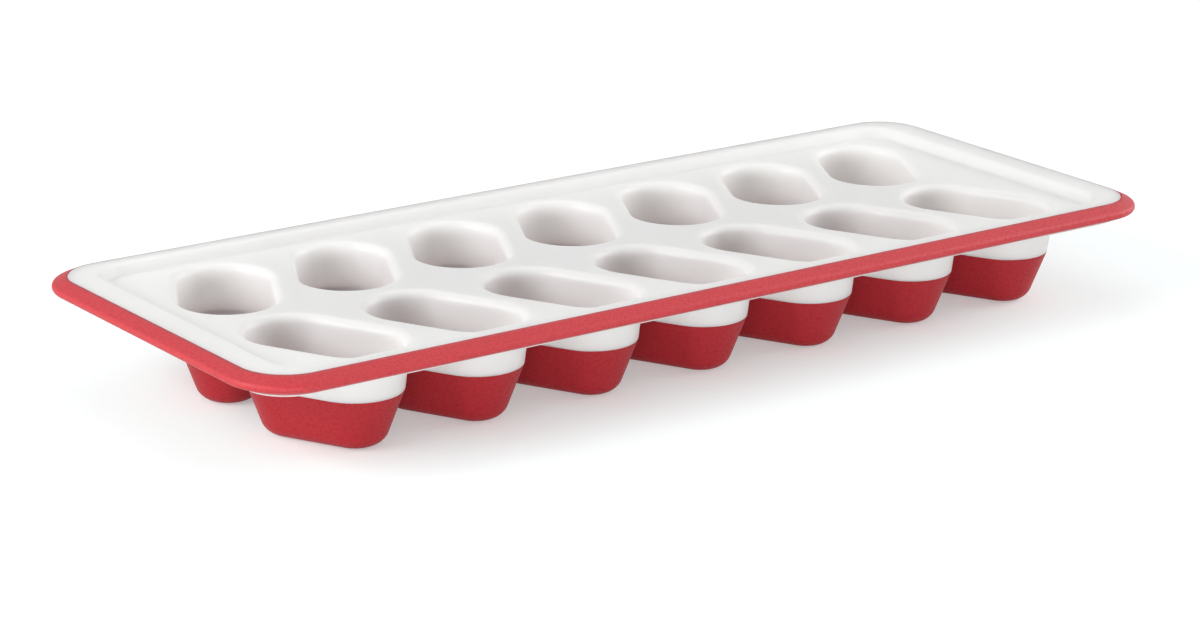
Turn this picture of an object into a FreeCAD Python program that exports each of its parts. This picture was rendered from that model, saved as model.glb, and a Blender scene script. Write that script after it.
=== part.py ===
# Ice cube tray: a white rigid tray with a recessed deck and fourteen oblong openings,
# a red soft grip moulded round its flange, and fourteen red soft cup bottoms that
# push up to release the ice. Millimetres, +Z up, standing on its cup floors at Z = 0,
# long side along X, centred on X and Y.

import FreeCAD, Part
import math
import os
import Sketcher

os.makedirs("parts", exist_ok=True)
doc = FreeCAD.newDocument("ice_cube_tray")

# Driving sizes
sizes = doc.addObject("Spreadsheet::Sheet", "sizes")
TABLE = [
    ("tray_length", 316.0, "flange edge to flange edge along X"),
    ("tray_width", 118.5, "flange edge to flange edge along Y"),
    ("total_height", 32.7, "floor of the cups to the top of the flange"),
    ("corner_radius", 11.0, "plan radius of the flange corners"),
    ("flange_thickness", 1.8, "flat flange"),
    ("flange_side", 5.4, "flat flange width along the long sides"),
    ("flange_end", 9.0, "flat flange width along the short sides"),
    ("slope_run", 2.9, "horizontal run of the slope into the recess"),
    ("recess_depth", 4.0, "flange top down to the deck"),
    ("recess_radius", 9.0, "plan radius of the recess corners at the flange"),
    ("shoulder_bevel", 0.7, "eased edge where the flange turns into the slope"),
    ("deck_thickness", 1.8, "deck between the openings"),
    ("skirt_inset", 1.5, "skirt face behind the flange edge"),
    ("skirt_thickness", 1.4, "wall of the skirt"),
    ("skirt_depth", 6.8, "flange top down to the skirt edge"),
    ("grip_bulge", 4.5, "grip standing out from the flange edge"),
    ("grip_height", 5.8, "grip from top to bottom"),
    ("grip_nose", 1.9, "radius at the outermost line of the grip"),
    ("end_land", 19.8, "end of the tray to the last cup of a row, along X"),
    ("side_land", 11.0, "side of the tray to the cups, along Y"),
    ("row_gap", 7.5, "gap between the two rows of cups"),
    ("lean_angle", 62.5, "long axis of a back row cup, from X"),
    ("bond_radius", 13.8, "outer end radius where collar and cup meet"),
    ("bond_depth", 16.8, "flange top down to the line where collar and cup meet"),
    ("wall", 1.5, "wall of the collars and of the soft cups"),
    ("collar_draft", 6.0, "taper of the collar in degrees"),
    ("lip_bevel", 0.9, "eased lip of an opening"),
    ("cup_draft", 20.0, "taper of the soft cup in degrees"),
    ("cup_floor", 2.2, "floor of the soft cup"),
    ("foot_height", 2.0, "height of the eased foot of the cup"),
    ("foot_angle", 52.0, "taper of the foot in degrees"),
]
for row, (alias, value, note) in enumerate(TABLE, start=1):
    sizes.set("A%d" % row, note)
    sizes.set("B%d" % row, str(value))
    sizes.setAlias("B%d" % row, alias)
doc.recompute()


def size(name):
    """The sheet's value for a name."""
    return float(sizes.get(name))


# Heights, radii and places that follow from the driving sizes, kept in the sheet as well
COLUMNS = 7
DERIVED = [
    ("deck_top", "=total_height - recess_depth"),
    ("deck_bottom", "=total_height - recess_depth - deck_thickness"),
    ("bond_height", "=total_height - bond_depth"),
    ("collar_height", "=total_height - recess_depth - deck_thickness - (total_height - bond_depth)"),
    ("collar_top_radius", "=bond_radius + collar_height * tan(collar_draft * 1deg)"),
    ("bore_radius", "=collar_top_radius - wall + deck_thickness * tan(collar_draft * 1deg)"),
    ("bore_bond_radius", "=bond_radius - wall"),
    ("slope_angle", "=atan(slope_run / recess_depth) / 1deg"),
    ("foot_radius", "=bond_radius - (bond_height - foot_height) * tan(cup_draft * 1deg)"),
    ("outer_end", "=tray_width / 2 - side_land - bond_radius"),
    ("inner_end", "=row_gap / 2 + bond_radius"),
    ("row_offset", "=(outer_end + inner_end) / 2"),
    ("cup_core", "=(outer_end - inner_end) / 2 / sin(lean_angle * 1deg)"),
    ("last_cup", "=tray_length / 2 - end_land - bond_radius - cup_core * cos(lean_angle * 1deg)"),
    ("cup_pitch", "=last_cup * 2 / %d" % (COLUMNS - 1)),
]
for row, (alias, formula) in enumerate(DERIVED, start=len(TABLE) + 2):
    sizes.set("A%d" % row, alias.replace("_", " "))
    sizes.set("B%d" % row, formula)
    sizes.setAlias("B%d" % row, alias)
doc.recompute()


def plane(body, role):
    """One of the body's own origin planes."""
    for item in body.Origin.OriginFeatures:
        if item.Role == role:
            return item
    raise ValueError(role)


def sketch_on(body, name, role="XY_Plane", height=None):
    """A sketch on an origin plane of the body, lifted by an expression."""
    sketch = body.newObject("Sketcher::SketchObject", name)
    sketch.AttachmentSupport = [(plane(body, role), "")]
    sketch.MapMode = "FlatFace"
    if height:
        sketch.setExpression("AttachmentOffset.Base.z", height)
    return sketch


def bind(sketch, constraint, name, expression):
    """Adds a named dimension and ties it to the sheet."""
    index = sketch.addConstraint(constraint)
    sketch.renameConstraint(index, name)
    sketch.setExpression("Constraints." + name, expression)


def add_oblong(sketch, core, radius, tag, core_value, radius_value):
    """A centred oblong: two straight sides joined by half circles."""
    c, r = core_value, radius_value
    up = FreeCAD.Vector(0, 0, 1)
    half = math.pi / 2
    geo = [
        Part.LineSegment(FreeCAD.Vector(-c, r, 0), FreeCAD.Vector(c, r, 0)),
        Part.ArcOfCircle(Part.Circle(FreeCAD.Vector(c, 0, 0), up, r), -half, half),
        Part.LineSegment(FreeCAD.Vector(c, -r, 0), FreeCAD.Vector(-c, -r, 0)),
        Part.ArcOfCircle(Part.Circle(FreeCAD.Vector(-c, 0, 0), up, r), half, 3 * half),
    ]
    top, right, bottom, left = sketch.addGeometry(geo, False)
    for one, end, two, other in (
        (top, 2, right, 2),
        (right, 1, bottom, 1),
        (bottom, 2, left, 2),
        (left, 1, top, 1),
    ):
        sketch.addConstraint(Sketcher.Constraint("Tangent", one, end, two, other))
    sketch.addConstraint(Sketcher.Constraint("Symmetric", left, 3, right, 3, -1, 1))
    sketch.addConstraint(Sketcher.Constraint("PointOnObject", right, 3, -1))
    sketch.addConstraint(Sketcher.Constraint("Equal", left, right))
    bind(sketch, Sketcher.Constraint("DistanceX", left, 3, right, 3, 2 * c), tag + "_core", "2 * " + core)
    bind(sketch, Sketcher.Constraint("Radius", right, r), tag + "_radius", radius)


def add_frame(sketch, length, width, radius, tag, values):
    """A centred rectangle with round corners; its front side is split at the middle."""
    a, b, r = values[0] / 2, values[1] / 2, values[2]
    up = FreeCAD.Vector(0, 0, 1)
    half = math.pi / 2
    geo = [
        Part.LineSegment(FreeCAD.Vector(0, -b, 0), FreeCAD.Vector(a - r, -b, 0)),
        Part.ArcOfCircle(Part.Circle(FreeCAD.Vector(a - r, r - b, 0), up, r), -half, 0),
        Part.LineSegment(FreeCAD.Vector(a, r - b, 0), FreeCAD.Vector(a, b - r, 0)),
        Part.ArcOfCircle(Part.Circle(FreeCAD.Vector(a - r, b - r, 0), up, r), 0, half),
        Part.LineSegment(FreeCAD.Vector(a - r, b, 0), FreeCAD.Vector(r - a, b, 0)),
        Part.ArcOfCircle(Part.Circle(FreeCAD.Vector(r - a, b - r, 0), up, r), half, 2 * half),
        Part.LineSegment(FreeCAD.Vector(-a, b - r, 0), FreeCAD.Vector(-a, r - b, 0)),
        Part.ArcOfCircle(Part.Circle(FreeCAD.Vector(r - a, r - b, 0), up, r), 2 * half, 3 * half),
        Part.LineSegment(FreeCAD.Vector(r - a, -b, 0), FreeCAD.Vector(0, -b, 0)),
    ]
    g = sketch.addGeometry(geo, False)
    for index in range(8):
        sketch.addConstraint(Sketcher.Constraint("Tangent", g[index], 2, g[index + 1], 1))
    for index in (0, 2, 4, 6):
        kind = "Horizontal" if index in (0, 4) else "Vertical"
        sketch.addConstraint(Sketcher.Constraint(kind, g[index]))
    sketch.addConstraint(Sketcher.Constraint("Coincident", g[8], 2, g[0], 1))
    sketch.addConstraint(Sketcher.Constraint("Horizontal", g[8]))
    sketch.addConstraint(Sketcher.Constraint("PointOnObject", g[0], 1, -2))
    for index in (3, 5, 7):
        sketch.addConstraint(Sketcher.Constraint("Equal", g[1], g[index]))
    sketch.addConstraint(Sketcher.Constraint("Symmetric", g[1], 3, g[5], 3, -1, 1))
    bind(sketch, Sketcher.Constraint("Radius", g[1], r), tag + "_radius", radius)
    bind(
        sketch,
        Sketcher.Constraint("DistanceX", g[6], 1, g[2], 2, 2 * a),
        tag + "_length",
        length,
    )
    bind(
        sketch,
        Sketcher.Constraint("DistanceY", g[0], 2, g[4], 1, 2 * b),
        tag + "_width",
        width,
    )


def frame_sketch(body, name, height, length, width, radius, values):
    """A sketch of one round cornered rectangle."""
    sketch = sketch_on(body, name, height=height)
    add_frame(sketch, length, width, radius, "frame", values)
    return sketch


def oblong_sketch(body, name, height, core, radius, values):
    """A sketch of one oblong."""
    sketch = sketch_on(body, name, height=height)
    add_oblong(sketch, core, radius, "oblong", values[0], values[1])
    return sketch


def pad(body, name, sketch, length, down=False, taper=None):
    """Adds material from a sketch; taper narrows it away from the sketch."""
    feature = body.newObject("PartDesign::Pad", name)
    feature.Profile = sketch
    feature.setExpression("Length", length)
    feature.Reversed = down
    if taper:
        feature.setExpression("TaperAngle", taper)
    return feature


def pocket(body, name, sketch, length, up=False, taper=None):
    """Removes material from a sketch, downward unless up is set."""
    feature = body.newObject("PartDesign::Pocket", name)
    feature.Profile = sketch
    feature.setExpression("Length", length)
    feature.Reversed = up
    if taper:
        feature.setExpression("TaperAngle", taper)
    return feature


def edges_where(shape, test):
    """Names of the edges that pass a test on the edge."""
    return ["Edge%d" % n for n, edge in enumerate(shape.Edges, start=1) if test(edge)]


def lies_flat(edge, height):
    """True for an edge that lies at one height."""
    box = edge.BoundBox
    return abs(box.ZMin - height) < 0.01 and abs(box.ZMax - height) < 0.01


def bevel_edges(body, name, base, edges, bevel):
    """Bevels the named edges of the feature before it."""
    if not edges:
        raise RuntimeError("no edges for " + name)
    feature = body.newObject("PartDesign::Chamfer", name)
    feature.Base = (base, edges)
    feature.setExpression("Size", bevel)
    return feature


# Where the cups stand: seven along X in each row, the rows leaning against each other
PLACES = []
for row_name, side in (("front", -1), ("back", 1)):
    for column in range(COLUMNS):
        PLACES.append((row_name, column + 1, column - (COLUMNS - 1) / 2, side))


def round_a_cup(edge):
    """True for an edge whose ends both lie within a collar's radius of one cup's core line."""
    core = size("cup_core")
    for _, _, step, side in PLACES:
        lean = math.radians(side * size("lean_angle"))
        away = []
        for vertex in edge.Vertexes:
            dx = vertex.X - step * size("cup_pitch")
            dy = vertex.Y - side * size("row_offset")
            along = dx * math.cos(lean) + dy * math.sin(lean)
            across = dy * math.cos(lean) - dx * math.sin(lean)
            away.append(math.hypot(max(abs(along) - core, 0), across))
        if max(away) < size("collar_top_radius"):
            return True
    return False


# Tray body: flange, sloped recess, deck, skirt and collars in one moulding
tray = doc.addObject("PartDesign::Body", "tray_body")
tray.Label = "tray_body"
frame_size = (size("tray_length"), size("tray_width"), size("corner_radius"))
flange_sketch = frame_sketch(
    tray,
    "flange_outline",
    "sizes.total_height",
    "sizes.tray_length",
    "sizes.tray_width",
    "sizes.corner_radius",
    frame_size,
)
flange = pad(tray, "flange", flange_sketch, "sizes.flange_thickness", down=True)

skirt_sketch = sketch_on(tray, "skirt_outline", height="sizes.total_height - sizes.flange_thickness")
inset = size("skirt_inset")
add_frame(
    skirt_sketch,
    "sizes.tray_length - 2 * sizes.skirt_inset",
    "sizes.tray_width - 2 * sizes.skirt_inset",
    "sizes.corner_radius - sizes.skirt_inset",
    "outer",
    (frame_size[0] - 2 * inset, frame_size[1] - 2 * inset, frame_size[2] - inset),
)
inner = inset + size("skirt_thickness")
add_frame(
    skirt_sketch,
    "sizes.tray_length - 2 * (sizes.skirt_inset + sizes.skirt_thickness)",
    "sizes.tray_width - 2 * (sizes.skirt_inset + sizes.skirt_thickness)",
    "sizes.corner_radius - sizes.skirt_inset - sizes.skirt_thickness",
    "inner",
    (frame_size[0] - 2 * inner, frame_size[1] - 2 * inner, frame_size[2] - inner),
)
skirt = pad(tray, "skirt", skirt_sketch, "sizes.skirt_depth - sizes.flange_thickness", down=True)

recess_size = (
    size("tray_length") - 2 * size("flange_end"),
    size("tray_width") - 2 * size("flange_side"),
    size("recess_radius"),
)
basin_wall = size("deck_thickness")
basin_sketch = frame_sketch(
    tray,
    "basin_outline",
    "sizes.total_height",
    "sizes.tray_length - 2 * sizes.flange_end + 2 * sizes.deck_thickness",
    "sizes.tray_width - 2 * sizes.flange_side + 2 * sizes.deck_thickness",
    "sizes.recess_radius + sizes.deck_thickness",
    (recess_size[0] + 2 * basin_wall, recess_size[1] + 2 * basin_wall, recess_size[2] + basin_wall),
)
basin = pad(
    tray,
    "basin",
    basin_sketch,
    "sizes.recess_depth + sizes.deck_thickness",
    down=True,
    taper="-sizes.slope_angle * 1deg",
)
recess_sketch = frame_sketch(
    tray,
    "recess_outline",
    "sizes.total_height",
    "sizes.tray_length - 2 * sizes.flange_end",
    "sizes.tray_width - 2 * sizes.flange_side",
    "sizes.recess_radius",
    recess_size,
)
recess = pocket(tray, "recess", recess_sketch, "sizes.recess_depth", taper="-sizes.slope_angle * 1deg")
doc.recompute()

flange_top = size("total_height")
shoulder_edges = edges_where(
    recess.Shape,
    lambda e: lies_flat(e, flange_top)
    and e.BoundBox.XMax < recess_size[0] / 2 + 0.01
    and e.BoundBox.XMin > -recess_size[0] / 2 - 0.01
    and e.BoundBox.YMax < recess_size[1] / 2 + 0.01
    and e.BoundBox.YMin > -recess_size[1] / 2 - 0.01,
)
bevel_edges(tray, "shoulder", recess, shoulder_edges, "sizes.shoulder_bevel")


def add_leaning_oblongs(sketch, radius, radius_value):
    """All the openings in one sketch: each oblong leans by the lean angle at its own place."""
    core = size("cup_core")
    up = FreeCAD.Vector(0, 0, 1)
    half = math.pi / 2
    rules = []
    ties = []
    geo = []
    run = "sizes.cup_core * cos(sizes.lean_angle * 1deg)"
    rise = "sizes.cup_core * sin(sizes.lean_angle * 1deg)"
    for number, (_, _, step, side) in enumerate(PLACES):
        lean = math.radians(side * size("lean_angle"))
        centre = FreeCAD.Vector(step * size("cup_pitch"), side * size("row_offset"), 0)
        along = FreeCAD.Vector(math.cos(lean), math.sin(lean), 0) * core
        across = FreeCAD.Vector(-math.sin(lean), math.cos(lean), 0) * radius_value
        head = centre + along
        tail = centre - along
        top = len(geo)
        right, bottom, left = top + 1, top + 2, top + 3
        geo += [
            Part.LineSegment(tail + across, head + across),
            Part.ArcOfCircle(Part.Circle(head, up, radius_value), lean - half, lean + half),
            Part.LineSegment(head - across, tail - across),
            Part.ArcOfCircle(Part.Circle(tail, up, radius_value), lean + half, lean + 3 * half),
        ]
        rules += [
            Sketcher.Constraint("Tangent", top, 2, right, 2),
            Sketcher.Constraint("Tangent", right, 1, bottom, 1),
            Sketcher.Constraint("Tangent", bottom, 2, left, 2),
            Sketcher.Constraint("Tangent", left, 1, top, 1),
            Sketcher.Constraint("Equal", left, right),
        ]
        if number == 0:
            ties.append((len(rules), "end_radius", radius))
            rules.append(Sketcher.Constraint("Radius", right, radius_value))
        else:
            rules.append(Sketcher.Constraint("Equal", 1, right))
        for arc, spot, end_name, sign in ((right, head, "head", 1), (left, tail, "tail", -1)):
            name = "opening_%d_%s" % (number + 1, end_name)
            x = "%g * sizes.cup_pitch + %d * %s" % (step, sign, run)
            y = "%d * sizes.row_offset + %d * %s" % (side, sign * side, rise)
            ties.append((len(rules), name + "_x", x))
            rules.append(Sketcher.Constraint("DistanceX", -1, 1, arc, 3, spot.x))
            ties.append((len(rules), name + "_y", y))
            rules.append(Sketcher.Constraint("DistanceY", -1, 1, arc, 3, spot.y))
    sketch.addGeometry(geo, False)
    sketch.addConstraint(rules)
    for index, name, expression in ties:
        sketch.renameConstraint(index, name)
        sketch.setExpression("Constraints." + name, expression)


collar_sketch = sketch_on(tray, "collar_outlines", height="sizes.deck_bottom")
add_leaning_oblongs(collar_sketch, "sizes.collar_top_radius", size("collar_top_radius"))
collars = pad(
    tray,
    "collars",
    collar_sketch,
    "sizes.collar_height",
    down=True,
    taper="-sizes.collar_draft * 1deg",
)
doc.recompute()
bore_sketch = sketch_on(tray, "bore_outlines", height="sizes.deck_top")
add_leaning_oblongs(bore_sketch, "sizes.bore_radius", size("bore_radius"))
bores = pocket(
    tray,
    "bores",
    bore_sketch,
    "sizes.deck_top - sizes.bond_height",
    taper="-sizes.collar_draft * 1deg",
)
doc.recompute()
deck_height = size("deck_top")
lip_edges = edges_where(bores.Shape, lambda e: lies_flat(e, deck_height) and round_a_cup(e))
tray.Tip = bevel_edges(tray, "lips", bores, lip_edges, "sizes.lip_bevel")
doc.recompute()


# Rim grip: a soft ring with a half oval outside, seated on the flange edge and the skirt
grip = doc.addObject("PartDesign::Body", "rim_grip")
grip.Label = "rim_grip"
grip_path = frame_sketch(
    grip,
    "grip_path",
    "sizes.total_height",
    "sizes.tray_length",
    "sizes.tray_width",
    "sizes.corner_radius",
    frame_size,
)
grip_profile = sketch_on(grip, "grip_profile", role="YZ_Plane")


def draw_grip_profile(sketch):
    """Three tangent arcs outside, and inside the step of the flange edge and the skirt."""
    edge = -size("tray_width") / 2
    top = size("total_height")
    half_drop = size("grip_height") / 2
    bulge = size("grip_bulge")
    nose = size("grip_nose")
    behind = edge + size("skirt_inset")
    under = top - size("flange_thickness")
    flank = ((bulge - nose) ** 2 + half_drop**2 - nose**2) / (2 * (half_drop - nose))
    swing = math.atan2(flank - half_drop, bulge - nose)
    up = FreeCAD.Vector(0, 0, 1)
    pi = math.pi
    low = top - 2 * half_drop
    upper_centre = FreeCAD.Vector(edge, top - flank, 0)
    lower_centre = FreeCAD.Vector(edge, low + flank, 0)
    nose_centre = FreeCAD.Vector(edge - bulge + nose, top - half_drop, 0)
    corners = [
        FreeCAD.Vector(edge, low, 0),
        FreeCAD.Vector(behind, low, 0),
        FreeCAD.Vector(behind, under, 0),
        FreeCAD.Vector(edge, under, 0),
        FreeCAD.Vector(edge, top, 0),
    ]
    geo = [
        Part.ArcOfCircle(Part.Circle(upper_centre, up, flank), pi / 2, pi - swing),
        Part.ArcOfCircle(Part.Circle(nose_centre, up, nose), pi - swing, pi + swing),
        Part.ArcOfCircle(Part.Circle(lower_centre, up, flank), pi + swing, 3 * pi / 2),
    ]
    geo += [Part.LineSegment(one, two) for one, two in zip(corners[:-1], corners[1:])]
    sketch.addGeometry(geo, False)
    sketch.addConstraint(
        [
            Sketcher.Constraint("Tangent", 0, 2, 1, 1),
            Sketcher.Constraint("Tangent", 1, 2, 2, 1),
            Sketcher.Constraint("Tangent", 2, 2, 3, 1),
            Sketcher.Constraint("Coincident", 3, 2, 4, 1),
            Sketcher.Constraint("Coincident", 4, 2, 5, 1),
            Sketcher.Constraint("Coincident", 5, 2, 6, 1),
            Sketcher.Constraint("Coincident", 6, 2, 0, 1),
            Sketcher.Constraint("Horizontal", 3),
            Sketcher.Constraint("Vertical", 4),
            Sketcher.Constraint("Horizontal", 5),
            Sketcher.Constraint("Vertical", 6),
            Sketcher.Constraint("Vertical", 0, 3, 0, 1),
            Sketcher.Constraint("Vertical", 2, 2, 0, 1),
        ]
    )
    bind(
        sketch,
        Sketcher.Constraint("DistanceX", 0, 1, -1, 1, -edge),
        "half_width",
        "sizes.tray_width / 2",
    )
    bind(sketch, Sketcher.Constraint("DistanceY", -1, 1, 0, 1, top), "top", "sizes.total_height")
    bind(sketch, Sketcher.Constraint("DistanceY", 2, 2, 0, 1, 2 * half_drop), "drop", "sizes.grip_height")
    bind(sketch, Sketcher.Constraint("Radius", 1, nose), "nose", "sizes.grip_nose")
    bind(
        sketch,
        Sketcher.Constraint("DistanceX", 1, 3, 0, 1, bulge - nose),
        "reach",
        "sizes.grip_bulge - sizes.grip_nose",
    )
    bind(
        sketch,
        Sketcher.Constraint("DistanceY", 1, 3, 0, 1, half_drop),
        "middle",
        "sizes.grip_height / 2",
    )
    bind(
        sketch,
        Sketcher.Constraint("DistanceX", 0, 1, 4, 1, behind - edge),
        "inset",
        "sizes.skirt_inset",
    )
    bind(
        sketch,
        Sketcher.Constraint("DistanceY", 5, 2, 0, 1, top - under),
        "step",
        "sizes.flange_thickness",
    )


draw_grip_profile(grip_profile)
doc.recompute()
grip_ring = grip.newObject("PartDesign::AdditivePipe", "grip_ring")
grip_ring.Profile = grip_profile
grip_ring.Spine = (grip_path, ["Edge%d" % n for n in range(1, 10)])
grip_ring.Mode = "Standard"
grip.Tip = grip_ring
doc.recompute()


# Soft cups: each is drawn about its own middle and then set down in its place
def make_cup(name, step, side):
    """One soft cup: a tapered oblong with an eased foot, hollowed from its rim."""
    cup = doc.addObject("PartDesign::Body", name)
    cup.Label = name
    core = size("cup_core")
    rim = oblong_sketch(
        cup, name + "_rim", "sizes.bond_height", "sizes.cup_core", "sizes.bond_radius",
        (core, size("bond_radius")),
    )
    wall_height = "sizes.bond_height - sizes.foot_height"
    pad(cup, name + "_shell", rim, wall_height, down=True, taper="-sizes.cup_draft * 1deg")
    ankle = oblong_sketch(
        cup, name + "_ankle", "sizes.foot_height", "sizes.cup_core", "sizes.foot_radius",
        (core, size("foot_radius")),
    )
    pad(cup, name + "_foot", ankle, "sizes.foot_height", down=True, taper="-sizes.foot_angle * 1deg")
    mouth = oblong_sketch(
        cup, name + "_mouth", "sizes.bond_height", "sizes.cup_core", "sizes.bore_bond_radius",
        (core, size("bore_bond_radius")),
    )
    cup.Tip = pocket(
        cup, name + "_hollow", mouth, "sizes.bond_height - sizes.cup_floor", taper="-sizes.cup_draft * 1deg"
    )
    cup.setExpression("Placement.Base.x", "%g * sizes.cup_pitch" % step)
    cup.setExpression("Placement.Base.y", "%d * sizes.row_offset" % side)
    cup.setExpression("Placement.Rotation.Angle", "%d * sizes.lean_angle * 1deg" % side)
    return cup


cups = [make_cup("cup_%s_%d" % (row, number), step, side) for row, number, step, side in PLACES]
doc.recompute()


# Nothing is written unless every object is sound
for item in doc.Objects:
    if any(word in item.State for word in ("Invalid", "Error")):
        raise RuntimeError("%s is %s" % (item.Name, item.State))
for piece in [tray, grip] + cups:
    if piece.Shape.isNull() or not piece.Shape.isValid() or len(piece.Shape.Solids) != 1:
        raise RuntimeError(piece.Label + " has no sound solid")
for piece in [tray, grip] + cups:
    piece.Shape.exportStep("parts/%s.step" % piece.Label)
    box = piece.Shape.BoundBox
    print(
        "%-14s volume %9.1f  X %.2f..%.2f  Y %.2f..%.2f  Z %.2f..%.2f"
        % (piece.Label, piece.Shape.Volume, box.XMin, box.XMax, box.YMin, box.YMax, box.ZMin, box.ZMax)
    )
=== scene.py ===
import math

import bmesh
import bpy
from mathutils import Matrix, Vector
from mathutils.geometry import delaunay_2d_cdt


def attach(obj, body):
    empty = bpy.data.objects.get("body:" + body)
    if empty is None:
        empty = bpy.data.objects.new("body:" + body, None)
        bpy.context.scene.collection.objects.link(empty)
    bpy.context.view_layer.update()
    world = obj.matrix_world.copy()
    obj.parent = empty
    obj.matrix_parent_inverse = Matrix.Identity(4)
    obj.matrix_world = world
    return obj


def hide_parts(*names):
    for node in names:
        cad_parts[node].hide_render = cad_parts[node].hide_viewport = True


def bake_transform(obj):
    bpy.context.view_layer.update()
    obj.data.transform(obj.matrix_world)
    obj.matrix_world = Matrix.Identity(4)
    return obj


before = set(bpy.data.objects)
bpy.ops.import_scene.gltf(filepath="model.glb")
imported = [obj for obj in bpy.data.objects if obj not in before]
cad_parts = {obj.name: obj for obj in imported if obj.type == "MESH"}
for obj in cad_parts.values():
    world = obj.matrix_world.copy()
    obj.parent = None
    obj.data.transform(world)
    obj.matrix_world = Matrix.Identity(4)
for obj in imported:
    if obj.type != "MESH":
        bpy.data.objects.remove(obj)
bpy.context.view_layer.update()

# ------------------------------------------------------------------ sizes, in millimetres

MM = 0.001
COLUMNS = 7
MIDDLE = (COLUMNS + 1) / 2
PLACES = [
    (row, column, side) for row, side in (("front", -1), ("back", 1)) for column in range(1, COLUMNS + 1)
]

# Rim, recess and skirt. Lengths and widths are half of the whole, from the middle.
HALF_LENGTH, HALF_WIDTH, CORNER = 158.0, 59.25, 14.0
TOP, FLANGE, RECESS_DEPTH, DECK = 32.7, 1.8, 3.2, 1.8
RECESS_LENGTH, RECESS_WIDTH, RECESS_CORNER, SLOPE_RUN = 149.0, 54.7, 11.0, 2.6
SHOULDER, VALLEY, DECK_MARGIN = 2.6, 1.8, 0.95
SKIRT_INSET, SKIRT_WALL, SKIRT_DEPTH, UNDER_MARGIN = 1.5, 1.4, 6.8, 0.6
FLANGE_ROUND, SKIRT_ROUND = 0.3, 0.35
SKIRT_LOW = TOP - SKIRT_DEPTH
DECK_TOP = TOP - RECESS_DEPTH
DECK_LOW = DECK_TOP - DECK
RIM = (HALF_LENGTH, HALF_WIDTH, CORNER)
RECESS = (RECESS_LENGTH, RECESS_WIDTH, RECESS_CORNER)

# The bond is the level where a collar ends and its soft cup starts.
BOND, BOND_RADIUS, BORE_BOND_RADIUS = 15.9, 13.8, 12.3
COLLAR_DRAFT, CUP_DRAFT, LEAN = math.radians(6), math.radians(20), math.radians(62.5)
COLLAR_TOP_RADIUS = BOND_RADIUS + (DECK_LOW - BOND) * math.tan(COLLAR_DRAFT)
BORE_TOP_RADIUS = BORE_BOND_RADIUS + (DECK_TOP - BOND) * math.tan(COLLAR_DRAFT)

# The two rows are tied to the lands left at the ends and sides and to the gap between them.
END_LAND, SIDE_LAND, ROW_GAP = 19.8, 11.0, 7.5
OUTER_END = HALF_WIDTH - SIDE_LAND - BOND_RADIUS
INNER_END = ROW_GAP / 2 + BOND_RADIUS
ROW_OFFSET = (OUTER_END + INNER_END) / 2
CORE = (OUTER_END - INNER_END) / 2 / math.sin(LEAN)
PITCH = (HALF_LENGTH - END_LAND - BOND_RADIUS - CORE * math.cos(LEAN)) / (MIDDLE - 1)

# Roundings and flats of the collars and cups, and the tongue between them.
LIP, LIP_MARGIN, ROOT, ROOT_MARGIN, BORE_BEND, SEAT_ROUND = 2.6, 0.3, 1.0, 1.0, 6.0, 0.2
FOOT, FOOT_MARGIN, BOWL, CUP_FLOOR, RIM_ROUND = 5.5, 5.0, 4.0, 2.2, 0.15
TONGUE, TONGUE_WALL, TONGUE_GAP, TONGUE_INNER_ROUND, TONGUE_OUTER_ROUND = 1.9, 0.7, 0.04, 0.1, 0.15
TONGUE_LOW = BOND - TONGUE
TONGUE_BORE = BORE_BOND_RADIUS - TONGUE * math.tan(CUP_DRAFT)

GRIP_BULGE, GRIP_HEIGHT, GRIP_STEP, GRIP_SLOPE = 4.5, 5.8, 0.05, math.radians(24)

# The longest run of each profile that is left undivided, and the run before and after a rounding
# at a profile's end, which only gives it a direction and is dropped.
COLLAR_SPAN, CUP_SPAN, GRIP_SPAN, LEAD = 2.6, 1.6, 1.2, 4.0

# Output type of the triangulation that keeps only what lies inside the outline, how near two of its
# points count as one, and how near two vertices of a finished mesh do, in metres.
INSIDE_ONLY, SAME_POINT, WELD = 1, 1e-6, 2e-6

# Cells of the rubber's grain in a metre, and how far their edges wander, in metres.
GRAIN, GRAIN_WANDER = 1500.0, 0.0006


# ------------------------------------------------------------------ outlines and profiles

def oblong(radius, straight=4, bend=28):
    """Points round an oblong: the ends bend round the ends of its core."""
    points = []
    for turn in (0, 1):
        flip = -1 if turn else 1
        for step in range(bend + 1):
            angle = -math.pi / 2 + math.pi * step / bend
            points.append((flip * (CORE + radius * math.cos(angle)), flip * radius * math.sin(angle)))
        for step in range(1, straight):
            points.append((flip * (CORE - 2 * CORE * step / straight), flip * radius))
    return points


def round_frame(half_x, half_y, corner, bend):
    """Points round a rectangle with round corners."""
    points = []
    for quarter, (sx, sy) in enumerate(((1, -1), (1, 1), (-1, 1), (-1, -1))):
        for step in range(bend + 1):
            angle = -math.pi / 2 + quarter * math.pi / 2 + math.pi / 2 * step / bend
            points.append((
                sx * (half_x - corner) + corner * math.cos(angle),
                sy * (half_y - corner) + corner * math.sin(angle),
            ))
    return points


def inset(sizes, run, height, bend=14):
    """A round rectangle drawn in on every side, at one height."""
    half_x, half_y, corner = (size - run for size in sizes)
    return [(x, y, height) for x, y in round_frame(half_x, half_y, corner, bend)]


def bend_points(before, corner, after, radius, steps):
    """Points of a round between two runs of a profile."""
    here = Vector(corner)
    back = (Vector(before) - here).normalized()
    ahead = (Vector(after) - here).normalized()
    half = back.angle(ahead) / 2
    reach = radius / math.tan(half)
    centre = here + (back + ahead).normalized() * (radius / math.sin(half))
    start = here + back * reach - centre
    end = here + ahead * reach - centre
    sweep = start.angle_signed(end)
    turns = [Matrix.Rotation(-sweep * step / steps, 2) for step in range(steps + 1)]
    return [tuple(centre + turn @ start) for turn in turns]


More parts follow.
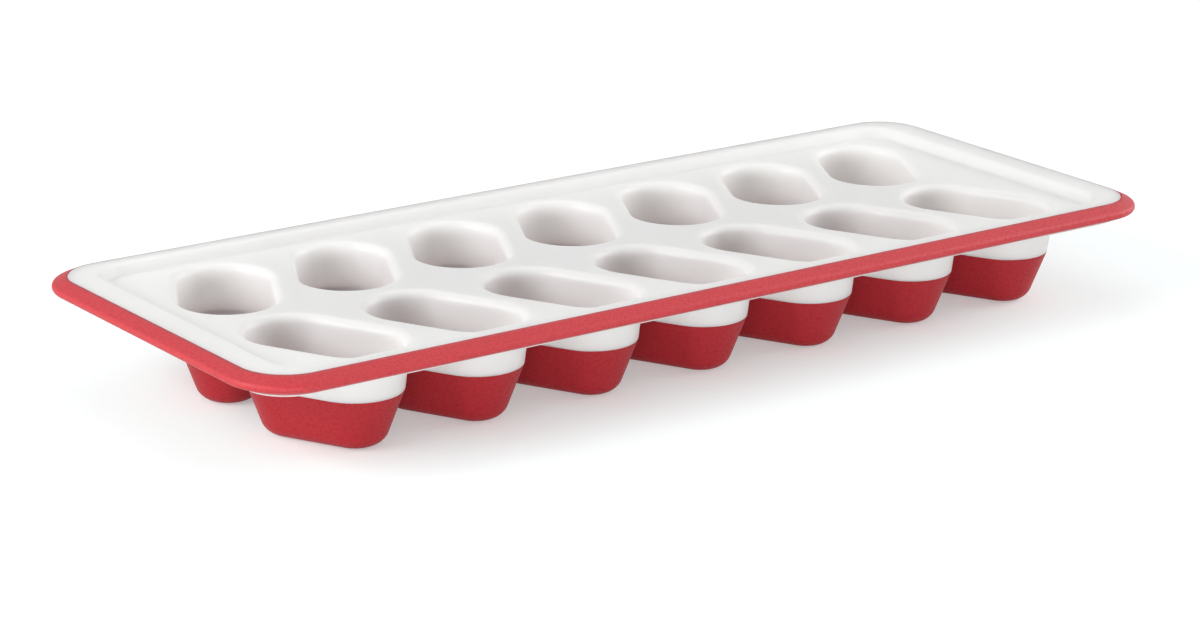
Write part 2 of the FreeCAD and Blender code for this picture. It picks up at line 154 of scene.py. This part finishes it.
def rounded(points, rounds, steps=6):
    """A profile whose named corners are rounded."""
    profile = []
    for index, point in enumerate(points):
        if index in rounds:
            profile += bend_points(points[index - 1], point, points[index + 1], rounds[index], steps)
        else:
            profile.append(point)
    return profile


def divided(profile, longest):
    """The same profile with its long runs divided."""
    out = [profile[0]]
    for here, there in zip(profile, profile[1:]):
        span = math.dist(here, there)
        count = max(1, math.ceil(span / longest))
        for step in range(1, count + 1):
            share = step / count
            out.append((here[0] + (there[0] - here[0]) * share, here[1] + (there[1] - here[1]) * share))
    return out


# ------------------------------------------------------------------ mesh making

def add_rings(work, rings, close=False):
    """Walls between rings of points."""
    made = [[work.verts.new((x * MM, y * MM, z * MM)) for x, y, z in ring] for ring in rings]
    pairs = list(zip(made, made[1:]))
    if close:
        pairs.append((made[-1], made[0]))
    for one, two in pairs:
        count = len(one)
        for index in range(count):
            after = (index + 1) % count
            work.faces.new((one[index], one[after], two[after], two[index]))


def add_flat(work, outer, holes, height, upward):
    """A flat plate at one height with holes in it."""
    points = [Vector(p) for p in outer]
    edges = [(n, (n + 1) % len(outer)) for n in range(len(outer))]
    for hole in holes:
        first = len(points)
        points += [Vector(p) for p in hole]
        edges += [(first + n, first + (n + 1) % len(hole)) for n in range(len(hole))]
    verts, _, faces, *_ = delaunay_2d_cdt(points, edges, [], INSIDE_ONLY, SAME_POINT)
    made = [work.verts.new((v.x * MM, v.y * MM, height * MM)) for v in verts]
    for face in faces:
        spot = sum((verts[n] for n in face), Vector((0, 0))) / len(face)
        if any(inside(spot, hole) for hole in holes):
            continue
        corners = [made[n] for n in face]
        signed = sum(
            verts[a].x * verts[b].y - verts[b].x * verts[a].y for a, b in zip(face, face[1:] + face[:1])
        )
        if (signed > 0) != upward:
            corners.reverse()
        work.faces.new(corners)


def inside(point, loop):
    """True where a point lies within a closed loop."""
    odd = False
    for (ax, ay), (bx, by) in zip(loop, loop[1:] + loop[:1]):
        if (ay > point.y) != (by > point.y) and point.x < (bx - ax) * (point.y - ay) / (by - ay) + ax:
            odd = not odd
    return odd


def lean_over(points, column, side):
    """Moves an outline from the middle to its place in the herringbone."""
    turn = side * LEAN
    x0, y0 = (column - MIDDLE) * PITCH, side * ROW_OFFSET
    c, s = math.cos(turn), math.sin(turn)
    return [(x0 + c * x - s * y, y0 + s * x + c * y) for x, y in points]


def finish_mesh(work, name, outward=True):
    """Welds the mesh, turns it outwards and makes it smooth."""
    bmesh.ops.remove_doubles(work, verts=work.verts, dist=WELD)
    if outward:
        bmesh.ops.recalc_face_normals(work, faces=work.faces)
    mesh = bpy.data.meshes.new(name)
    work.to_mesh(mesh)
    work.free()
    mesh.polygons.foreach_set("use_smooth", [True] * len(mesh.polygons))
    piece = bpy.data.objects.new(name, mesh)
    bpy.context.scene.collection.objects.link(piece)
    return piece


# ------------------------------------------------------------------ node trees

class Wire:
    """A socket of a node tree that can stand in a sum."""

    def __init__(self, tree, socket=None):
        self.tree = tree
        self.socket = socket

    def node(self, kind, settings=None, sockets=None, out=0):
        """Adds a node: its settings first, then the values or links of its sockets."""
        made = self.tree.nodes.new(kind)
        for key, value in (settings or {}).items():
            setattr(made, key, value)
        for key, value in (sockets or {}).items():
            target = made.inputs[key]
            if isinstance(value, Wire):
                self.tree.links.new(value.socket, target)
            else:
                target.default_value = value
        return Wire(self.tree, made.outputs[out])

    def maths(self, operation, first, second):
        """Adds a Math node on two values."""
        return self.node("ShaderNodeMath", {"operation": operation}, {0: first, 1: second})

    def __add__(self, other):
        return self.maths("ADD", self, other)

    __radd__ = __add__

    def __mul__(self, other):
        return self.maths("MULTIPLY", self, other)

    __rmul__ = __mul__

    def __sub__(self, other):
        return self.maths("SUBTRACT", self, other)

    def __rsub__(self, other):
        return self.maths("SUBTRACT", other, self)


def mixed(wire, share, one, two):
    """A colour between two colours: sockets 0, 6 and 7 are the Mix node's factor and its colours."""
    return wire.node("ShaderNodeMix", {"data_type": "RGBA"}, {0: share, 6: one, 7: two}, out=2)


def new_material(name, **plain):
    """A material with its principled shader; the plain values are set on the shader itself."""
    material = bpy.data.materials.new(name)
    material.use_nodes = True
    shader = material.node_tree.nodes["Principled BSDF"]
    for key, value in plain.items():
        shader.inputs[key.replace("_", " ")].default_value = value
    return material, shader, Wire(material.node_tree)


def connect(shader, name, wire):
    """Links a pattern to a socket of the shader."""
    shader.id_data.links.new(wire.socket, shader.inputs[name])


def moulded_white():
    """Satin moulded plastic: a warm white with faint flow clouds and a fine spark-eroded skin."""
    material, shader, tree = new_material(
        "moulded_white", IOR=1.49,
        Subsurface_Weight=0.8, Subsurface_Scale=0.006, Subsurface_Radius=(0.93, 0.95, 0.90),
    )
    place = tree.node("ShaderNodeTexCoord", out="Object")
    clouds = tree.node("ShaderNodeTexNoise", None, {"Vector": place, "Scale": 26.0, "Detail": 3.0})
    skin = tree.node("ShaderNodeTexNoise", None, {"Vector": place, "Scale": 2600.0, "Detail": 2.0})
    ripple = tree.node("ShaderNodeTexNoise", None, {"Vector": place, "Scale": 90.0, "Detail": 1.0})
    connect(shader, "Base Color", mixed(tree, clouds, (0.82, 0.822, 0.80, 1), (0.86, 0.862, 0.842, 1)))
    connect(shader, "Roughness", 0.34 + 0.10 * skin + 0.06 * clouds)
    height = 0.8 * skin + 1.2 * ripple
    connect(shader, "Normal", tree.node(
        "ShaderNodeBump", None, {"Strength": 0.12, "Distance": 0.0001, "Height": height}
    ))
    return material


def soft_red(name, strength, dark, light, **plain):
    """Soft matt rubber with a fine leather-like grain, between a dark and a light red."""
    material, shader, tree = new_material(name, **plain)
    place = tree.node("ShaderNodeTexCoord", out="Object")
    wobble = tree.node(
        "ShaderNodeTexNoise", None, {"Vector": place, "Scale": GRAIN * 0.5, "Detail": 2.0}, out="Color"
    )
    bent = tree.node(
        "ShaderNodeVectorMath", {"operation": "MULTIPLY_ADD"}, {0: wobble, 1: (GRAIN_WANDER,) * 3, 2: place}
    )
    cells = tree.node("ShaderNodeTexVoronoi", {"feature": "SMOOTH_F1"}, {"Vector": bent, "Scale": GRAIN})
    pebbles = tree.node(
        "ShaderNodeMapRange", None,
        {"Value": cells, "From Min": 0.15, "From Max": 0.75, "To Min": 1.0, "To Max": 0.0},
    )
    dust = tree.node("ShaderNodeTexNoise", None, {"Vector": place, "Scale": GRAIN * 3.1, "Detail": 2.0})
    clouds = tree.node("ShaderNodeTexNoise", None, {"Vector": place, "Scale": 30.0, "Detail": 3.0})
    tone = 0.55 * pebbles + 0.25 * dust + 0.2 * clouds
    connect(shader, "Base Color", mixed(tree, tone, dark, light))
    connect(shader, "Roughness", 0.62 - 0.12 * pebbles + 0.08 * dust)
    connect(shader, "Normal", tree.node(
        "ShaderNodeBump", None,
        {"Strength": strength, "Distance": 0.00012, "Height": 0.8 * pebbles + 0.2 * dust},
    ))
    return material


# ------------------------------------------------------------------ geometry node trees

def herringbone_tree(material):
    """Sets one moulding down in every place of the two leaning rows."""
    tree = bpy.data.node_groups.new("herringbone", "GeometryNodeTree")
    face = tree.interface
    face.new_socket("Geometry", in_out="INPUT", socket_type="NodeSocketGeometry")
    for label, kind in (
        ("Pitch", "NodeSocketFloat"), ("Row Offset", "NodeSocketFloat"),
        ("Lean", "NodeSocketFloat"), ("Columns", "NodeSocketInt"),
    ):
        face.new_socket(label, in_out="INPUT", socket_type=kind)
    face.new_socket("Geometry", in_out="OUTPUT", socket_type="NodeSocketGeometry")
    wire = Wire(tree)
    given = tree.nodes.new("NodeGroupInput")
    value = {socket.name: Wire(tree, socket) for socket in given.outputs if socket.name}
    rows = []
    for side in (-1, 1):
        first = (value["Columns"] - 1) * value["Pitch"] * -0.5
        start = wire.node("ShaderNodeCombineXYZ", None, {"X": first, "Y": value["Row Offset"] * side})
        stride = wire.node("ShaderNodeCombineXYZ", None, {"X": value["Pitch"]})
        spots = wire.node(
            "GeometryNodeMeshLine", {"mode": "OFFSET"},
            {"Count": value["Columns"], "Start Location": start, "Offset": stride},
        )
        turn = wire.node("ShaderNodeCombineXYZ", None, {"Z": value["Lean"] * side})
        rows.append(wire.node(
            "GeometryNodeInstanceOnPoints", None,
            {"Points": spots, "Instance": value["Geometry"], "Rotation": turn},
        ))
    join = wire.node("GeometryNodeJoinGeometry")
    for row in rows:
        tree.links.new(row.socket, join.socket.node.inputs["Geometry"])
    real = wire.node("GeometryNodeRealizeInstances", None, {"Geometry": join})
    dressed = wire.node("GeometryNodeSetMaterial", None, {"Geometry": real, "Material": material})
    result = tree.nodes.new("NodeGroupOutput")
    tree.links.new(dressed.socket, result.inputs["Geometry"])
    return tree


def set_down(piece, tree, values):
    """Runs a node tree on a piece and keeps the result as a plain mesh."""
    modifier = piece.modifiers.new("tree", "NODES")
    modifier.node_group = tree
    sockets = [item for item in tree.interface.items_tree if item.in_out == "INPUT"]
    names = {socket.name: socket.identifier for socket in sockets}
    for label, value in values.items():
        modifier[names[label]] = value
    bpy.context.view_layer.update()
    graph = bpy.context.evaluated_depsgraph_get()
    mesh = bpy.data.meshes.new_from_object(piece.evaluated_get(graph))
    piece.modifiers.remove(modifier)
    piece.data = mesh
    return piece


# ------------------------------------------------------------------ materials

white = moulded_white()
grip_red = soft_red(
    "grip_red", 0.55, (0.42, 0.012, 0.020, 1), (0.60, 0.024, 0.036, 1),
    IOR=1.62, Sheen_Weight=0.08, Sheen_Roughness=0.4,
)
# The cups wear the grip's rubber painted darker: painted shade for the shade the cups stand in beside one
# another.
cup_red_painted_shade = soft_red(
    "cup_red_painted_shade", 0.30, (0.33, 0.007, 0.013, 1), (0.46, 0.014, 0.024, 1),
    IOR=1.45, Sheen_Weight=0.04, Sheen_Roughness=0.4,
)


# ------------------------------------------------------------------ tray body

def collar_profile():
    """Half section of one opening: rolled lip, bore, thin tongue, flat seat, outside and round root."""
    lip_reach = LIP * math.tan(math.pi / 4 - COLLAR_DRAFT / 2)
    section = rounded(
        [
            (BORE_TOP_RADIUS + lip_reach + LIP_MARGIN, DECK_TOP),
            (BORE_TOP_RADIUS, DECK_TOP),
            (BORE_BOND_RADIUS, BOND),
            (TONGUE_BORE, TONGUE_LOW),
            (TONGUE_BORE + TONGUE_WALL, TONGUE_LOW),
            (BORE_BOND_RADIUS + TONGUE_WALL, BOND),
            (BOND_RADIUS, BOND),
            (COLLAR_TOP_RADIUS, DECK_LOW),
            (COLLAR_TOP_RADIUS + ROOT + ROOT_MARGIN, DECK_LOW),
        ],
        {
            1: LIP, 2: BORE_BEND, 3: TONGUE_INNER_ROUND, 4: TONGUE_OUTER_ROUND,
            6: SEAT_ROUND, 7: ROOT,
        },
    )
    return divided(section, COLLAR_SPAN)


def make_collars():
    """One opening, set down fourteen times."""
    work = bmesh.new()
    add_rings(work, [[(x, y, z) for x, y in oblong(radius)] for radius, z in collar_profile()])
    collar = finish_mesh(work, "collar", outward=False)
    values = {"Pitch": PITCH * MM, "Row Offset": ROW_OFFSET * MM, "Lean": LEAN, "Columns": COLUMNS}
    return set_down(collar, herringbone_tree(white), values)


def make_tray():
    """Flange, shoulder, slope, deck, underside and skirt round the fourteen collars."""
    slope = SLOPE_RUN / RECESS_DEPTH
    low_run = (RECESS_DEPTH + DECK) * slope - DECK
    top_run = rounded(
        [(-LEAD, TOP), (0.0, TOP), (SLOPE_RUN, DECK_TOP), (SLOPE_RUN + LEAD, DECK_TOP)],
        {1: SHOULDER, 2: VALLEY},
    )[1:-1]
    top_run.append((SLOPE_RUN + DECK_MARGIN, DECK_TOP))
    outer_run = rounded(
        [
            (LEAD, TOP), (0.0, TOP), (0.0, TOP - FLANGE), (SKIRT_INSET, TOP - FLANGE),
            (SKIRT_INSET, SKIRT_LOW), (SKIRT_INSET + SKIRT_WALL, SKIRT_LOW),
            (SKIRT_INSET + SKIRT_WALL, TOP - FLANGE),
            (SKIRT_INSET + SKIRT_WALL + UNDER_MARGIN, TOP - FLANGE),
        ],
        {1: FLANGE_ROUND, 4: SKIRT_ROUND, 5: SKIRT_ROUND},
        steps=4,
    )[1:]
    under_run = [
        (FLANGE * slope - DECK, TOP - FLANGE), (low_run, DECK_LOW), (low_run + UNDER_MARGIN, DECK_LOW),
    ]
    inner = [inset(RECESS, run, z) for run, z in top_run]
    outer = [inset(RIM, run, z) for run, z in outer_run]
    under = [inset(RECESS, run, z) for run, z in under_run]

    work = bmesh.new()
    add_rings(work, list(reversed(inner)) + outer + under)
    lip_loop = oblong(collar_profile()[0][0])
    root_loop = oblong(collar_profile()[-1][0])
    deck_outline = [(x, y) for x, y, _ in inner[-1]]
    low_outline = [(x, y) for x, y, _ in under[-1]]
    add_flat(work, deck_outline, [lean_over(lip_loop, c, s) for _, c, s in PLACES], DECK_TOP, True)
    add_flat(work, low_outline, [lean_over(root_loop, c, s) for _, c, s in PLACES], DECK_LOW, False)
    collars = make_collars()
    work.from_mesh(collars.data)
    bpy.data.objects.remove(collars)
    tray = finish_mesh(work, "tray_shell")
    tray.data.materials.append(white)
    return tray


# ------------------------------------------------------------------ rim grip

def grip_profile():
    """Two sloping flanks that meet in a round nose, then the step round the flange edge and the skirt."""
    high, low = TOP - GRIP_STEP, TOP - GRIP_HEIGHT
    apex = (high - low) / 2 / math.tan(GRIP_SLOPE)
    nose = (apex - GRIP_BULGE) / (1 / math.sin(GRIP_SLOPE) - 1)
    outside = rounded([(0.0, high), (-apex, (high + low) / 2), (0.0, low)], {1: nose}, steps=18)
    step = [(SKIRT_INSET, low), (SKIRT_INSET, TOP - FLANGE), (0.0, TOP - FLANGE)]
    return divided(outside, GRIP_SPAN) + step


def make_grip():
    """The soft ring moulded round the flange."""
    work = bmesh.new()
    add_rings(work, [inset(RIM, run, z, bend=20) for run, z in grip_profile()], close=True)
    grip = finish_mesh(work, "rim_band")
    grip.data.materials.append(grip_red)
    return grip


# ------------------------------------------------------------------ soft cups

def cup_profile():
    """Half sections of one soft cup: its outside downwards, its inside up to the tongue's rebate."""
    drop = math.tan(CUP_DRAFT)
    rim = BORE_BOND_RADIUS + TONGUE_WALL + TONGUE_GAP
    ledge = TONGUE_LOW - TONGUE_GAP
    outer_foot = BOND_RADIUS - BOND * drop
    inner_foot = BORE_BOND_RADIUS - (BOND - CUP_FLOOR) * drop
    outside = rounded(
        [(rim, BOND), (BOND_RADIUS, BOND), (outer_foot, 0.0), (outer_foot - FOOT_MARGIN, 0.0)],
        {1: RIM_ROUND, 2: FOOT}, steps=10,
    )
    inside_face = rounded(
        [
            (inner_foot - FOOT_MARGIN, CUP_FLOOR), (inner_foot, CUP_FLOOR), (TONGUE_BORE, ledge),
            (TONGUE_BORE + TONGUE_WALL + TONGUE_GAP, ledge), (rim, BOND),
        ],
        {1: BOWL}, steps=8,
    )
    return divided(outside, CUP_SPAN), divided(inside_face, CUP_SPAN)


def make_cup(row, column, side):
    """One soft cup in its place."""
    outside, inside_face = cup_profile()
    work = bmesh.new()
    for profile in (outside, inside_face):
        add_rings(work, [
            [(x, y, z) for x, y in lean_over(oblong(radius), column, side)] for radius, z in profile
        ])
    add_flat(work, lean_over(oblong(outside[-1][0]), column, side), [], 0.0, False)
    add_flat(work, lean_over(oblong(inside_face[0][0]), column, side), [], CUP_FLOOR, True)
    cup = finish_mesh(work, "soft_cup_%s_%d" % (row, column))
    cup.data.materials.append(cup_red_painted_shade)
    return cup


# ------------------------------------------------------------------ dressing the frame

tray_shell = make_tray()
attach(tray_shell, "tray")
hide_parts("tray_body")

rim_band = make_grip()
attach(rim_band, "tray")
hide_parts("rim_grip")

for row, column, side in PLACES:
    body = "cup_%s_%d" % (row, column)
    cup = make_cup(row, column, side)
    x, y = (column - MIDDLE) * PITCH * MM, side * ROW_OFFSET * MM
    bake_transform(cup)
    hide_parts(body)

finishes = {"tray_body": white, "rim_grip": grip_red}
for name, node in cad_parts.items():
    node.data.materials.clear()
    node.data.materials.append(finishes.get(name, cup_red_painted_shade))


# ------------------------------------------------------------------ floor, light and camera

def pale_stage():
    """A wide pale floor that reads as white to the camera and keeps the soft shadow."""
    material, shader, tree = new_material("pale_floor", Roughness=0.9, Specular_IOR_Level=0.0)
    shader.inputs["Base Color"].default_value = (0.71, 0.76, 0.76, 1)
    camera_ray = tree.node("ShaderNodeLightPath", out="Is Camera Ray")
    glossy_ray = Wire(tree.tree, camera_ray.socket.node.outputs["Is Glossy Ray"])
    shader.inputs["Emission Color"].default_value = (1, 1, 1, 1)
    connect(shader, "Emission Strength", 0.345 * (camera_ray + glossy_ray))
    work = bmesh.new()
    bmesh.ops.create_grid(work, x_segments=8, y_segments=8, size=6.0)
    mesh = bpy.data.meshes.new("floor")
    work.to_mesh(mesh)
    work.free()
    floor = bpy.data.objects.new("floor", mesh)
    bpy.context.scene.collection.objects.link(floor)
    floor.data.materials.append(material)


def soft_light(name, place, aim, size, power):
    """A large soft lamp."""
    data = bpy.data.lights.new(name, "AREA")
    data.shape = "RECTANGLE"
    data.size, data.size_y = size
    data.energy = power
    lamp = bpy.data.objects.new(name, data)
    bpy.context.scene.collection.objects.link(lamp)
    lamp.location = place
    lamp.rotation_euler = (Vector(aim) - Vector(place)).to_track_quat("-Z", "Y").to_euler()


def studio():
    """Even room light, a large lamp overhead and behind, one at each side and a low strip in front."""
    world = bpy.data.worlds.new("room")
    bpy.context.scene.world = world
    world.use_nodes = True
    tree = Wire(world.node_tree)
    sky = world.node_tree.nodes["Background"]
    camera_ray = tree.node("ShaderNodeLightPath", out="Is Camera Ray")
    sky.inputs["Color"].default_value = (1.0, 1.0, 1.0, 1)
    strength = 0.50 + 0.52 * camera_ray
    world.node_tree.links.new(strength.socket, sky.inputs["Strength"])
    soft_light("overhead", (0.10, 0.50, 1.15), (0, 0, 0), (0.9, 0.9), 1.7)
    soft_light("left", (-1.12, 0.16, 0.56), (0, 0, 0.02), (0.8, 0.6), 10.4)
    soft_light("right", (1.12, -0.32, 0.54), (0, 0, 0.02), (0.8, 0.6), 8.4)
    soft_light("front", (-0.70, -1.20, 0.09), (0, 0, 0.02), (1.4, 0.2), 8.8)


def photo_camera():
    """The camera of the photograph, from its outlines."""
    yaw, pitch, roll = 0.6462, 0.3078, 0.0158
    aim, distance = Vector((-52.93, -61.92, TOP)), 984.9
    focal_pixels, frame_pixels, sensor = 3573.2, 1200, 36.0
    look = Vector((math.sin(yaw) * math.cos(pitch), math.cos(yaw) * math.cos(pitch), -math.sin(pitch)))
    right = Vector((math.cos(yaw), -math.sin(yaw), 0))
    above = right.cross(look)
    right, above = (
        math.cos(roll) * right + math.sin(roll) * above,
        -math.sin(roll) * right + math.cos(roll) * above,
    )
    data = bpy.data.cameras.new("photo_camera")
    data.sensor_width = sensor
    data.lens = focal_pixels / frame_pixels * sensor
    data.clip_end = 20.0
    camera = bpy.data.objects.new("photo_camera", data)
    bpy.context.scene.collection.objects.link(camera)
    stand = (aim - distance * look) * MM
    turn = Matrix((right, above, -look)).transposed()
    camera.matrix_world = Matrix.Translation(stand) @ turn.to_4x4()
    bpy.context.scene.camera = camera


pale_stage()
studio()
photo_camera()
bpy.context.scene.view_settings.view_transform = "Standard"
